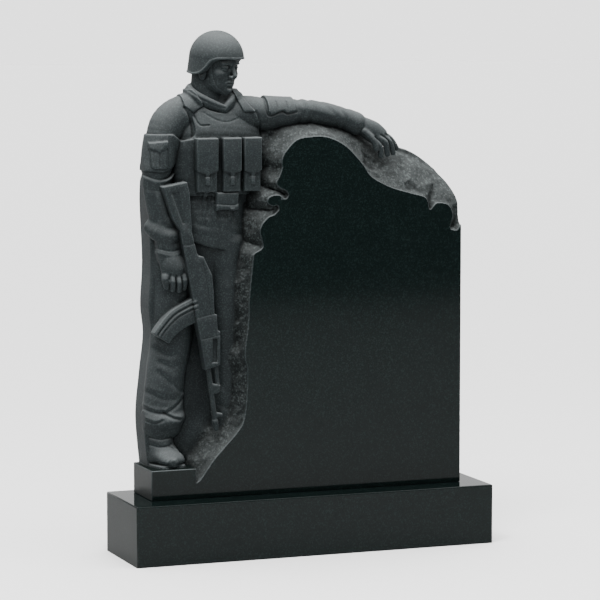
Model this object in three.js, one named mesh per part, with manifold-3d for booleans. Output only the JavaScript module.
// A granite war memorial: an upright stele on a plinth block. One stone carries everything on the
// stele: a polished panel, a rough rock border, and a soldier in high relief who stands on a low step
// at the left with a rifle in front and an arm laid along the top of the rock.
// Millimetres, +Z up, the face looks along -Y. The origin is the centre of the plinth's underside.
import * as THREE from 'three';
import { mergeVertices } from 'three/addons/utils/BufferGeometryUtils.js';
import Module from 'manifold-3d';

const wasm = await Module();
wasm.setup();

// Driving dimensions of the two stones
const plinthHeight = 190;
const plinthSideMargin = 77;
const plinthFrontMargin = 88;
const plinthBackMargin = 43;
const plinthArris = 4;
const bedJoint = 0.3;
const steleWidth = 1046;
const steleHeight = 1458;
const steleThickness = 187;
const steleBackArris = 12;
const stepHeight = 96;
const stepWidth = 147;
const panelLip = 6;

// Derived places
const plinthWidth = steleWidth + 2 * plinthSideMargin;
const plinthDepth = plinthFrontMargin + steleThickness + plinthBackMargin;
const steleFront = plinthFrontMargin - plinthDepth / 2;
const steleFoot = plinthHeight + bedJoint;
const figureHeight = steleHeight - stepHeight;

// The carving is drawn on a grid of its own: x from the middle of the stele, depth back from the
// polished face, height above the step. The grid is then laid over the stone, whatever its size.
const grid = { width: 1046, depth: 187, height: 1362 };
const gridEdge = grid.width / 2;
const gridFoot = (-stepHeight * grid.height) / figureHeight;
const gridLip = (panelLip * grid.depth) / steleThickness;
const recess = 79;

// Facets finer than this are merged
const mergeWithin = 0.9;

/** A drawn point as it lies in the stone. */
function onStone(point) {
  return new THREE.Vector3(
    (point.x * steleWidth) / grid.width,
    steleFront + (point.y * steleThickness) / grid.depth,
    steleFoot + stepHeight + (point.z * figureHeight) / grid.height,
  );
}

const drawn = (x, depth, height) => new THREE.Vector3(x, depth, height);

/** A closed geometry as a solid for joining and cutting, turned outside out if need be. */
function solid(geometry) {
  const bare = geometry.clone();
  bare.deleteAttribute('normal');
  bare.deleteAttribute('uv');
  const merged = mergeVertices(bare, 1e-4);
  const vertProperties = new Float32Array(merged.attributes.position.array);
  const triVerts = new Uint32Array(merged.index.array);
  const made = new wasm.Manifold(new wasm.Mesh({ numProp: 3, vertProperties, triVerts }));
  if (made.volume() > 0) return made;
  for (let i = 0; i < triVerts.length; i += 3) {
    [triVerts[i + 1], triVerts[i + 2]] = [triVerts[i + 2], triVerts[i + 1]];
  }
  return new wasm.Manifold(new wasm.Mesh({ numProp: 3, vertProperties, triVerts }));
}

/** All the solids as one. */
function joined(solids) {
  return solids.reduce((whole, piece) => whole.add(piece));
}

/** A solid's surface as a geometry, each point passed through place. */
function surface(body, place = (point) => point) {
  const mesh = body.getMesh();
  const positions = [];
  for (let i = 0; i < mesh.vertProperties.length; i += mesh.numProp) {
    const [x, y, z] = mesh.vertProperties.slice(i, i + 3);
    positions.push(...place(drawn(x, y, z)).toArray());
  }
  const geometry = new THREE.BufferGeometry();
  geometry.setAttribute('position', new THREE.Float32BufferAttribute(positions, 3));
  geometry.setIndex([...mesh.triVerts]);
  geometry.computeVertexNormals();
  return geometry;
}

/** A closed body through rings of as many points each, its two ends flat. */
function loft(rings) {
  const count = rings[0].length;
  const last = (rings.length - 1) * count;
  const faces = [];
  for (let r = 0; r + 1 < rings.length; r++) {
    for (let i = 0; i < count; i++) {
      const a = r * count + i;
      const b = r * count + ((i + 1) % count);
      faces.push(a, b, b + count, a, b + count, a + count);
    }
  }
  for (let i = 1; i + 1 < count; i++) {
    faces.push(0, i + 1, i, last, last + i, last + i + 1);
  }
  const geometry = new THREE.BufferGeometry().setFromPoints(rings.flat());
  geometry.setIndex(faces);
  return geometry;
}

/** Rows of numbers as one smooth run of so many rows. */
function smoothRows(rows, count) {
  const size = rows[0].length;
  const run = new THREE.CubicInterpolant(rows.map((_, i) => i), rows.flat(), size, new Float64Array(size));
  return Array.from({ length: count }, (_, i) => [...run.evaluate((i * (rows.length - 1)) / (count - 1))]);
}

/** One ring of a rounded section, square where corner is small and oval where it is 1. */
function section(centre, across, deep, halfAcross, halfDeep, sides, corner) {
  return Array.from({ length: sides }, (_, i) => {
    const angle = (2 * Math.PI * (i + 0.5)) / sides;
    const a = Math.sign(Math.cos(angle)) * Math.abs(Math.cos(angle)) ** corner;
    const b = Math.sign(Math.sin(angle)) * Math.abs(Math.sin(angle)) ** corner;
    return centre.clone().addScaledVector(across, halfAcross * a).addScaledVector(deep, halfDeep * b);
  });
}

/**
 * A limb through stations [x, depth, height, half across, half deep].
 * flat is the direction in which half deep is measured.
 */
function limb(stations, { sides = 12, rings = stations.length * 2 - 1, corner = 1, flat = drawn(0, 1, 0) } = {}) {
  const rows = smoothRows(stations, rings);
  const centres = rows.map(([x, depth, height]) => drawn(x, depth, height));
  return loft(
    rows.map(([, , , halfAcross, halfDeep], i) => {
      const before = centres[Math.max(i - 1, 0)];
      const after = centres[Math.min(i + 1, rows.length - 1)];
      const along = after.clone().sub(before).normalize();
      const across = along.clone().cross(flat).normalize();
      const deep = across.clone().cross(along);
      return section(centres[i], across, deep, halfAcross, halfDeep, sides, corner);
    }),
  );
}

/** The same stations, swollen by so much all round. */
function swollen(stations, growth) {
  return stations.map(([x, depth, height, halfAcross, halfDeep]) => [
    x, depth, height, halfAcross + growth, halfDeep + growth,
  ]);
}

/** A flat outline of [x, height] points, cut through the stone from the front depth to the back depth. */
function prism(outline, front, back, bevel = 0) {
  const shape = new THREE.Shape(outline.map(([x, height]) => new THREE.Vector2(x, height)));
  const geometry = new THREE.ExtrudeGeometry(shape, {
    depth: back - front - 2 * bevel,
    bevelEnabled: bevel > 0,
    bevelThickness: bevel,
    bevelSize: bevel,
    bevelOffset: -bevel,
    bevelSegments: 1,
  });
  return geometry.rotateX(Math.PI / 2).translate(0, back - bevel, 0);
}

/** A smooth open line through [x, height] points. */
function curve(points, count) {
  const line = new THREE.SplineCurve(points.map(([x, height]) => new THREE.Vector2(x, height)));
  return line.getPoints(count).map((point) => [point.x, point.y]);
}

/** An upright box given by its middle and its size, its edges bevelled. */
function block([x, depth, height], [width, thick, tall], bevel = 0) {
  const corners = [[-1, -1], [1, -1], [1, 1], [-1, 1]];
  const outline = corners.map(([a, b]) => [x + (a * width) / 2, height + (b * tall) / 2]);
  return prism(outline, depth - thick / 2, depth + thick / 2, bevel);
}

/** A ball with three half sizes, turned about the upright through its middle. */
function ball([x, depth, height], [halfX, halfDepth, halfHeight], turn = 0, detail = 12) {
  return new THREE.SphereGeometry(1, detail, Math.round(detail * 0.67))
    .rotateX(Math.PI / 2)
    .scale(halfX, halfDepth, halfHeight)
    .rotateZ(turn)
    .translate(x, depth, height);
}

// The rock: the edge of the polished panel, the outline of the stone, and the rough face between them
const panelLeft = curve([
  [-388, -52], [-360, -33], [-315, 28], [-248, 98], [-216, 155], [-206, 292], [-215, 350],
  [-201, 517], [-187, 655], [-155, 687], [-164, 735], [-134, 781], [-100, 802], [-136, 818],
  [-122, 847], [-82, 838], [-76, 860], [-111, 884], [-92, 950], [-62, 1002], [-16, 1028],
], 62);
const panelTop = curve([
  [-16, 1028], [57, 1029], [124, 999], [181, 942], [213, 900], [gridEdge - 247, 866], [gridEdge - 173, 844],
  [gridEdge - 123, 828], [gridEdge - 109, 790], [gridEdge - 87, 810], [gridEdge - 45, 804],
  [gridEdge - 29, 770], [gridEdge - 38, 728], [gridEdge - 15, 722],
], 40).slice(1);
const panelEdge = [
  [-388, gridFoot], ...panelLeft, ...panelTop, [gridEdge, 740], [gridEdge, gridFoot],
];
const stoneLeft = curve([
  [15 - gridEdge, 0], [3 - gridEdge, 150], [15 - gridEdge, 285], [29 - gridEdge, 410],
  [21 - gridEdge, 505], [28 - gridEdge, 640], [21 - gridEdge, 820], [23 - gridEdge, 893],
], 14);
const stoneTop = curve([
  [73 - gridEdge, 1050], [143 - gridEdge, 1120], [-280, 1150], [-160, 1120], [0, 1090], [180, 1045],
  [gridEdge - 233, 988], [gridEdge - 151, 978], [gridEdge - 75, 934], [gridEdge - 27, 882],
  [gridEdge - 4, 828], [gridEdge, 770],
], 24);
const stoneOutline = [[15 - gridEdge, gridFoot], ...stoneLeft, ...stoneTop, [gridEdge, gridFoot]];

/** The distance from a point to an outline's nearest edge. */
function distanceTo(outline, x, height) {
  const point = drawn(x, height, 0);
  const nearest = new THREE.Vector3();
  const side = new THREE.Line3();
  return Math.min(
    ...outline.map(([x0, h0], i) => {
      const [x1, h1] = outline[(i + 1) % outline.length];
      side.set(drawn(x0, h0, 0), drawn(x1, h1, 0));
      return side.closestPointToPoint(point, true, nearest).distanceTo(point);
    }),
  );
}

/** Even chisel marks, a few millimetres either way. */
function chiselled(x, height) {
  return 4 * Math.sin(x / 19 + 2 * Math.sin(height / 47)) * Math.sin(height / 23 + Math.sin(x / 31));
}

/** How deep the rough rock lies behind the polished face at a point outside the panel. */
function rockDepth(x, height) {
  const rightward = THREE.MathUtils.smoothstep(x, 40, 300);
  const slope = THREE.MathUtils.lerp(1.5, 0.62, rightward);
  const floor = THREE.MathUtils.lerp(recess, 110, rightward);
  const away = distanceTo(panelEdge, x, height);
  const edge = THREE.MathUtils.clamp(1 - distanceTo(stoneOutline, x, height) / 45, 0, 1);
  const shoulder = x > 200 ? 26 * edge * edge : 0;
  return Math.min(gridLip + slope * away + shoulder, floor) + chiselled(x, height);
}

/** The rough rock as a slab with a chiselled front. */
function roughRock() {
  const [left, right, bottom, top, pace, back] = [-430, 560, -62, 1180, 32, 140];
  const columns = Math.round((right - left) / pace);
  const rows = Math.round((top - bottom) / pace);
  const front = [];
  for (let r = 0; r <= rows; r++) {
    for (let c = 0; c <= columns; c++) {
      const x = left + ((right - left) * c) / columns;
      const height = bottom + ((top - bottom) * r) / rows;
      front.push(drawn(x, rockDepth(x, height), height));
    }
  }
  const count = front.length;
  const points = [...front, ...front.map((p) => drawn(p.x, back, p.z))];
  const faces = [];
  for (let r = 0; r < rows; r++) {
    for (let c = 0; c < columns; c++) {
      const a = r * (columns + 1) + c;
      const b = a + columns + 1;
      faces.push(a, a + 1, b + 1, a, b + 1, b);
      faces.push(count + a, count + b + 1, count + a + 1, count + a, count + b, count + b + 1);
    }
  }
  const rim = [];
  for (let c = 0; c < columns; c++) rim.push(c);
  for (let r = 0; r < rows; r++) rim.push(r * (columns + 1) + columns);
  for (let c = columns; c > 0; c--) rim.push(rows * (columns + 1) + c);
  for (let r = rows; r > 0; r--) rim.push(r * (columns + 1));
  rim.forEach((a, i) => {
    const b = rim[(i + 1) % rim.length];
    faces.push(a, count + a, count + b, a, count + b, b);
  });
  const geometry = new THREE.BufferGeometry().setFromPoints(points);
  geometry.setIndex(faces);
  return geometry;
}

function rock() {
  const panel = solid(prism(panelEdge, 0, recess + 20));
  const body = solid(prism(stoneOutline, recess, grid.depth, (steleBackArris * grid.depth) / steleThickness));
  const squareFoot = solid(prism(
    [[15 - gridEdge, gridFoot], [gridEdge, gridFoot], [gridEdge, gridFoot / 2], [15 - gridEdge, gridFoot / 2]],
    recess, grid.depth,
  ));
  const border = solid(roughRock()).intersect(solid(prism(stoneOutline, -20, recess + 30)));
  const stepEnd = stepWidth - gridEdge;
  const stepFace = [[-gridEdge, gridFoot], [stepEnd, gridFoot], [stepEnd, 0], [-gridEdge, 0]];
  const step = solid(prism(stepFace, 0, grid.depth));
  return joined([panel, body, squareFoot, border, step]);
}

// The soldier's clothes
const torso = [
  [-298, 104, 664, 136, 58], [-300, 102, 740, 130, 66], [-297, 100, 830, 126, 67], [-288, 100, 920, 134, 67],
  [-281, 100, 1010, 144, 68], [-280, 100, 1065, 140, 62], [-284, 102, 1115, 118, 52], [-292, 102, 1160, 62, 44],
];
const rightSleeve = [
  [-330, 104, 1112, 46, 44], [-385, 100, 1102, 60, 50], [-430, 96, 1070, 62, 54], [-454, 90, 1020, 53, 52],
  [-468, 84, 960, 49, 50], [-473, 82, 905, 46, 46],
];
const leftSleeve = [
  [-250, 98, 1090, 58, 50], [-180, 92, 1099, 61, 50], [-115, 86, 1098, 51, 47], [-50, 82, 1100, 45, 44],
  [10, 80, 1104, 39, 41], [75, 78, 1096, 38, 39], [130, 76, 1084, 35, 36], [190, 74, 1064, 31, 31],
];

function jacket() {
  const hemLine = [[-470, 900], [-470, 735], [-366, 704], [-311, 686], [-245, 676], [-120, 668], [-120, 900]];
  const body = solid(limb(torso, { sides: 20, corner: 0.85 }));
  const skirt = solid(limb(swollen(torso, 5), { sides: 20, corner: 0.85 })).intersect(solid(prism(hemLine, 0, 187)));
  const elbow = [[-476, 82, 925, 45, 44], [-476, 78, 890, 47, 42], [-468, 70, 810, 43, 40], [-458, 64, 756, 43, 38]];
  const roll = [[-458, 64, 775, 40, 36], [-456, 62, 756, 46, 41], [-452, 62, 738, 40, 36]];
  const cuff = [[-450, 62, 745, 35, 32], [-442, 60, 662, 37, 31]];
  return joined([
    body, skirt,
    solid(limb(rightSleeve, { sides: 16 })),
    solid(limb(elbow, { sides: 14 })),
    solid(limb(roll, { sides: 14, rings: 5 })),
    solid(limb(cuff, { sides: 12, rings: 3, corner: 0.8 })),
    solid(limb(leftSleeve, { sides: 14, rings: 14 })),
  ]);
}

/** The pockets on the two sleeves, raised from them. */
function sleevePockets() {
  const right = [[-545, 1042], [-438, 1040], [-418, 1018], [-448, 940], [-470, 932], [-545, 930]];
  const left = [[-123, 1160], [-31, 1160], [-31, 1104], [-60, 1100], [-112, 1096], [-121, 1106]];
  return joined([
    solid(limb(swollen(rightSleeve, 5), { sides: 16 })).intersect(solid(prism(right, 0, 130))),
    solid(limb(swollen(leftSleeve, 5), { sides: 14, rings: 14 })).intersect(solid(prism(left, 0, 130))),
  ]);
}

const collarLine = [
  [-364, 112, 1166, 17, 9], [-346, 74, 1146, 19, 9], [-304, 50, 1122, 17, 9], [-254, 44, 1108, 12, 9],
  [-230, 62, 1134, 15, 9], [-226, 96, 1156, 16, 9], [-250, 140, 1166, 15, 9], [-310, 150, 1172, 15, 9],
  [-364, 112, 1166, 17, 9],
];

/** The rolled collar: a flattened ring that dips to a point in front. */
function collar() {
  const rows = smoothRows(collarLine, 25).slice(0, -1);
  const centres = rows.map(([x, depth, height]) => drawn(x, depth, height));
  const rings = rows.map(([, , , tall, thick], i) => {
    const before = centres[(i + rows.length - 1) % rows.length];
    const after = centres[(i + 1) % rows.length];
    const along = after.clone().sub(before).normalize();
    const out = along.clone().cross(drawn(0, 0, 1)).normalize();
    return section(centres[i], out, out.clone().cross(along), thick, tall, 8, 1);
  });
  const count = rings[0].length;
  const faces = [];
  rings.forEach((_, r) => {
    for (let i = 0; i < count; i++) {
      const next = (r + 1) % rings.length;
      const j = (i + 1) % count;
      faces.push(r * count + i, r * count + j, next * count + j, r * count + i, next * count + j, next * count + i);
    }
  });
  const geometry = new THREE.BufferGeometry().setFromPoints(rings.flat());
  geometry.setIndex(faces);
  return solid(geometry);
}

// The load vest: a plate that follows the chest, three magazine pouches and a small belt pouch
const vestOutline = [
  [-440, 850], [-440, 1014], [-396, 1022], [-366, 1036], [-364, 1069], [-376, 1108], [-392, 1128],
  [-420, 1175], [-362, 1175], [-326, 1124], [-296, 1110], [-265, 1106], [-240, 1118], [-224, 1150],
  [-214, 1175], [-192, 1175], [-186, 1128], [-166, 1112], [-147, 1072], [-138, 1034], [-120, 1018], [-120, 850],
];
const pouches = [
  { x: -334, front: 0, width: 70 },
  { x: -252, front: 0, width: 60 },
  { x: -183, front: 4, width: 58 },
];
const pouch = { bottom: 858, top: 1030, flap: 928, buckleTop: 920, buckleBottom: 892, back: 44 };

function vest() {
  const plate = solid(limb(swollen(torso, 7), { sides: 20, corner: 0.85 })).intersect(solid(prism(vestOutline, 0, 150)));
  const pieces = pouches.flatMap(({ x, front, width }) => {
    const half = width / 2;
    const flapEdge = [
      [x - half, pouch.top], [x - half, pouch.flap], [x - half / 2, pouch.flap - 6], [x + half / 2, pouch.flap - 6],
      [x + half, pouch.flap], [x + half, pouch.top],
    ];
    const bag = [x, (front + 3 + pouch.back) / 2, (pouch.bottom + pouch.top) / 2 - 2];
    const buckle = [x, front + 4, (pouch.buckleTop + pouch.buckleBottom) / 2];
    return [
      solid(block(bag, [width - 3, pouch.back - front - 3, pouch.top - pouch.bottom - 4], 5)),
      solid(prism(flapEdge, front, pouch.back, 4)),
      solid(block(buckle, [14, 8, pouch.buckleTop - pouch.buckleBottom], 2)),
    ];
  });
  const beltPouch = solid(block([-264, 35, 832], [70, 34, 52], 4));
  const strap = solid(block([-249, 36, 792], [14, 16, 40], 2));
  return joined([plate, beltPouch, strap, ...pieces]);
}

function shoulderStraps() {
  const right = [[-416, 118, 1143, 24, 6], [-390, 66, 1142, 24, 6], [-366, 38, 1116, 24, 6]];
  const left = [[-196, 118, 1148, 20, 6], [-190, 66, 1140, 20, 6], [-180, 44, 1112, 20, 6]];
  return joined([right, left].map((stations) => solid(limb(stations, { sides: 8, rings: 5, corner: 0.5, flat: drawn(0, -0.6, 0.8) }))));
}

// Trousers and boots
function legs() {
  const pelvis = [[-300, 98, 730, 138, 52], [-312, 98, 640, 146, 50], [-322, 100, 596, 130, 44]];
  const right = [
    [-422, 92, 690, 68, 58], [-422, 90, 560, 66, 56], [-424, 88, 450, 66, 54], [-434, 86, 370, 64, 52],
    [-449, 84, 294, 62, 50], [-456, 84, 216, 66, 50], [-459, 84, 150, 71, 52], [-462, 86, 122, 66, 48],
    [-466, 90, 108, 50, 38],
  ];
  const left = [
    [-246, 92, 700, 66, 56], [-246, 90, 600, 58, 52], [-247, 88, 480, 55, 50], [-250, 88, 300, 50, 46],
    [-256, 88, 150, 48, 44], [-262, 90, -4, 46, 42],
  ];
  return joined([
    solid(limb(pelvis, { sides: 16, rings: 4 })),
    solid(limb(right, { sides: 16, rings: 15 })),
    solid(limb(left, { sides: 12, rings: 7 })),
  ]);
}

function boot() {
  const shaft = [[-469, 94, 132, 44, 40], [-467, 92, 80, 43, 42], [-463, 94, 30, 45, 50]];
  const foot = [
    [-466, 160, 28, 38, 28], [-463, 120, 40, 44, 40], [-457, 84, 38, 46, 38], [-449, 52, 30, 47, 30],
    [-443, 28, 22, 43, 22], [-440, 12, 15, 28, 14],
  ];
  const sole = [[-466, 165, 5, 44, 7], [-460, 100, 5, 49, 7], [-449, 50, 5, 50, 7], [-442, 24, 5, 46, 7], [-440, 6, 5, 30, 7]];
  const upward = drawn(0, 0, 1);
  return joined([
    solid(limb(shaft, { sides: 12 })),
    solid(limb(foot, { sides: 12, flat: upward })),
    solid(limb(sole, { sides: 12, rings: 6, corner: 0.6, flat: upward })),
  ]);
}

// The head looks to the soldier's left. Its own axes: forward, sideways to its left, and up from the chin.
const head = { x: -279, depth: 89, chin: 1166, turn: THREE.MathUtils.degToRad(40), nod: 0.08 };

/** A point of the head as a drawn point. */
function onHead(forward, side, up) {
  const ahead = forward + head.nod * (up - 90);
  return drawn(
    head.x + ahead * Math.sin(head.turn) + side * Math.cos(head.turn),
    head.depth - ahead * Math.cos(head.turn) + side * Math.sin(head.turn),
    head.chin + up - head.nod * forward,
  );
}

/** A ball on the head, its half sizes forward, sideways and up. */
function headBall([forward, side, up], [halfForward, halfSide, halfUp], detail = 10) {
  const middle = onHead(forward, side, up);
  return solid(ball(middle.toArray(), [halfSide, halfForward, halfUp], head.turn, detail));
}

/** The face and skull: rings at each height, [up, front, back, half width]. */
function skull() {
  const levels = [
    [0, 40, 10, 26], [8, 58, 20, 36], [18, 63, 32, 43], [32, 64, 48, 49], [50, 66, 58, 53], [66, 66, 64, 55],
    [84, 64, 70, 57], [98, 68, 73, 58], [120, 67, 74, 58], [144, 55, 64, 50],
  ];
  const sides = 20;
  const rings = smoothRows(levels, 19).map(([up, front, back, half]) =>
    Array.from({ length: sides }, (_, i) => {
      const angle = (2 * Math.PI * i) / sides;
      const reach = Math.cos(angle) > 0 ? front : back;
      return onHead(reach * Math.sign(Math.cos(angle)) * Math.abs(Math.cos(angle)) ** 0.85, half * Math.sin(angle), up);
    }),
  );
  return solid(loft(rings));
}

/** The nose: a three-sided wedge from between the brows to the tip. */
function nose() {
  const levels = [[96, 66, 7, 56], [82, 72, 7, 52], [64, 82, 10, 52], [56, 84, 13, 50], [50, 72, 12, 50]];
  return solid(loft(levels.map(([up, tip, half, root]) => [
    onHead(root, -half * 1.5, up), onHead(tip - 3, -half * 0.45, up), onHead(tip, 0, up),
    onHead(tip - 3, half * 0.45, up), onHead(root, half * 1.5, up),
  ])));
}

function face() {
  const sides = [-1, 1];
  const sockets = joined(sides.map((s) => headBall([68, 25 * s, 83], [16, 18, 10])));
  const lids = sides.map((s) => headBall([53, 24 * s, 82], [10, 14, 8], 8));
  const ears = sides.map((s) => headBall([-6, 56 * s, 74], [15, 8, 26], 8));
  const lips = [headBall([60, 0, 40], [9, 20, 5], 8), headBall([60, 0, 32], [9, 17, 5], 8)];
  const chin = headBall([54, 0, 14], [14, 20, 13]);
  return joined([skull().subtract(sockets), nose(), chin, ...lids, ...ears, ...lips]);
}

const helmet = { front: 90, back: 92, half: 78, brow: 112, nape: 60, crown: 195 };

/** The helmet: a dome with upright sides, cut away over the face. */
function helmetShell() {
  const sides = 22;
  const levels = [[0, 1.03], [0.1, 1.02], [0.3, 1], [0.48, 0.985], [0.64, 0.92], [0.78, 0.79], [0.89, 0.6], [0.97, 0.33], [1, 0.1]];
  const rings = levels.map(([share, size]) =>
    Array.from({ length: sides }, (_, i) => {
      const angle = (2 * Math.PI * i) / sides;
      const reach = Math.cos(angle) > 0 ? helmet.front : helmet.back;
      return onHead(
        size * reach * Math.cos(angle), size * helmet.half * Math.sin(angle),
        helmet.nape + share * (helmet.crown - helmet.nape),
      );
    }),
  );
  const edge = [[140, 20], [140, helmet.brow - 4], [84, helmet.brow], [52, helmet.brow - 3], [34, 100], [18, 78], [-2, 62], [-30, 56], [-30, 20]];
  const opening = [-120, 120].map((side) => edge.map(([forward, up]) => onHead(forward, side, up)));
  return solid(loft(rings)).subtract(solid(cappedLoft(opening)));
}

/** A closed body between two like outlines of any shape. */
function cappedLoft([near, far]) {
  const count = near.length;
  const flatten = (points) => points.map((p) => new THREE.Vector2(p.z, p.y - p.x));
  const caps = THREE.ShapeUtils.triangulateShape(flatten(near), []);
  const faces = [];
  caps.forEach(([a, b, c]) => faces.push(a, b, c, count + a, count + c, count + b));
  const clockwise = THREE.ShapeUtils.isClockWise(flatten(near));
  near.forEach((_, i) => {
    const j = (i + 1) % count;
    const walls = [j, i, count + i, j, count + i, count + j];
    faces.push(...(clockwise ? walls.reverse() : walls));
  });
  const geometry = new THREE.BufferGeometry().setFromPoints([...near, ...far]);
  geometry.setIndex(faces);
  return geometry;
}

function headAndNeck() {
  const neck = [
    [-302, 104, 1100, 62, 52], [head.x - 19, head.depth + 13, head.chin + 4, 56, 50],
    [head.x - 13, head.depth + 7, head.chin + 59, 52, 50],
  ];
  return joined([solid(limb(neck, { sides: 14 })), face(), helmetShell()]);
}

// The hands
function finger(points, thick) {
  const last = points.length - 1;
  const stations = points.map(([x, depth, height], i) => [x, depth, height, thick * (1 - 0.12 * i), thick * (1 - 0.1 * i)]);
  const [x, depth, height] = points[last];
  return joined([
    solid(limb(stations, { sides: 8, rings: last * 2 + 1 })),
    solid(ball([x, depth, height], [thick * 0.8, thick * 0.8, thick * 0.85], 0, 8)),
  ]);
}

/** The right hand hangs beside the rifle, the fingers loosely curled. */
function rightHand() {
  const palm = [[-440, 58, 680, 31, 25], [-432, 52, 648, 42, 27], [-427, 50, 612, 40, 24]];
  const fingers = [
    [[-456, 50, 618], [-458, 38, 596], [-452, 42, 574]],
    [[-438, 48, 612], [-439, 34, 588], [-435, 38, 563]],
    [[-420, 47, 610], [-420, 32, 586], [-417, 36, 560]],
    [[-402, 48, 616], [-401, 34, 592], [-400, 40, 566]],
  ];
  return joined([solid(limb(palm, { sides: 12 })), ...fingers.map((points) => finger(points, 11.5))]);
}

/** The left hand lies over the rock, its fingers spread downwards. */
function leftHand() {
  const palm = [[184, 74, 1066, 27, 24], [212, 68, 1052, 31, 24], [240, 62, 1036, 34, 24], [262, 58, 1020, 31, 22]];
  const fingers = [
    [[222, 52, 1022], [252, 42, 994], [257, 40, 962]],
    [[250, 50, 1020], [272, 42, 1002], [282, 44, 966]],
    [[268, 56, 1024], [290, 50, 1004], [304, 50, 970]],
    [[274, 70, 1030], [300, 66, 1010], [322, 66, 982]],
  ];
  return joined([solid(limb(palm, { sides: 12, rings: 7 })), ...fingers.map((points) => finger(points, 11))]);
}

// The rifle hangs muzzle down in front of the body
const rifle = { front: 6, back: 42, bore: 22 };

function rifleBody() {
  const outline = [
    [-481, 882], [-448, 781], [-424, 745], [-420, 720], [-408, 664], [-394, 586], [-378, 507], [-370, 456],
    [-357, 392], [-343, 307], [-294, 320], [-293, 425], [-302, 431], [-304, 478], [-312, 485], [-315, 557],
    [-320, 604], [-348, 662], [-364, 665], [-369, 673], [-377, 705], [-385, 737], [-392, 860], [-401, 896],
  ];
  const slot = [[-318, 404], [-302, 404], [-304, 330], [-320, 330]];
  const groove = [[-452, 862], [-426, 866], [-408, 768], [-414, 766]];
  return solid(prism(outline, rifle.front, rifle.back, 4))
    .subtract(solid(prism(slot, rifle.front - 4, rifle.front + 6)))
    .subtract(solid(prism(groove, rifle.front - 4, rifle.front + 3)));
}

function barrel() {
  const tubes = [
    [[-331, rifle.bore, 320, 9, 9], [-303, rifle.bore, 118, 8, 8]],
    [[-306, rifle.bore, 330, 8, 8], [-296, rifle.bore, 240, 7, 7]],
    [[-307, rifle.bore, 142, 10, 10], [-303, rifle.bore, 116, 9, 9]],
  ];
  const gasBlock = [[-318, 262], [-290, 256], [-296, 232], [-314, 228]];
  const frontSight = [[-314, 172], [-284, 166], [-282, 158], [-300, 154], [-306, 140]];
  return joined([
    ...tubes.map((stations) => solid(limb(stations, { sides: 10, rings: 2 }))),
    solid(prism(gasBlock, rifle.bore - 8, rifle.bore + 12)),
    solid(prism(frontSight, rifle.bore - 6, rifle.bore + 10)),
  ]);
}

/** The curved magazine, with two ribs along its outer side. */
function magazine() {
  const outer = curve([[-376, 534], [-446, 498], [-490, 452], [-508, 426]], 8);
  const inner = curve([[-458, 394], [-438, 418], [-408, 440], [-364, 458]], 8);
  const inset = (share) => outer.map(([x, height], i) => {
    const [ix, ih] = inner[inner.length - 1 - i];
    return [x + (ix - x) * share, height + (ih - height) * share];
  });
  const ribs = [[0.1, 0.2], [0.32, 0.42]].map(([a, b]) => solid(prism([...inset(a), ...inset(b).reverse()], 14, 30)));
  return joined([solid(prism([...outer, ...inner], 18, 50, 3)), ...ribs]);
}

function stele() {
  const figure = [
    legs(), boot(), jacket(), sleevePockets(), collar(), vest(), shoulderStraps(), headAndNeck(),
    rightHand(), leftHand(), rifleBody(), barrel(), magazine(),
  ];
  const room = solid(prism([[-gridEdge, gridFoot], [gridEdge, gridFoot], [gridEdge, 1400], [-gridEdge, 1400]], 0, grid.depth));
  return joined([rock(), ...figure]).intersect(room).simplify(mergeWithin);
}

/** The plinth block, its upper edges and corners bevelled. */
function plinth() {
  const level = (inset, corner, height) => {
    const [x, y] = [plinthWidth / 2 - inset, plinthDepth / 2 - inset];
    return [
      [x - corner, -y], [x, -y + corner], [x, y - corner], [x - corner, y],
      [-x + corner, y], [-x, y - corner], [-x, -y + corner], [-x + corner, -y],
    ].map(([px, py]) => drawn(px, py, height));
  };
  return loft([
    level(0, plinthArris, 0),
    level(0, plinthArris, plinthHeight - plinthArris),
    level(plinthArris, plinthArris, plinthHeight),
  ]);
}

function named(name, geometry, finish) {
  const mesh = new THREE.Mesh(geometry, new THREE.MeshStandardMaterial(finish));
  mesh.name = name;
  return mesh;
}

const memorial = new THREE.Group();
memorial.add(named('plinth', plinth(), { color: 0x262c2b, roughness: 0.18, metalness: 0 }));
memorial.add(named('stele', surface(stele(), onStone), { color: 0x3a4040, roughness: 0.5, metalness: 0 }));

export default memorial;
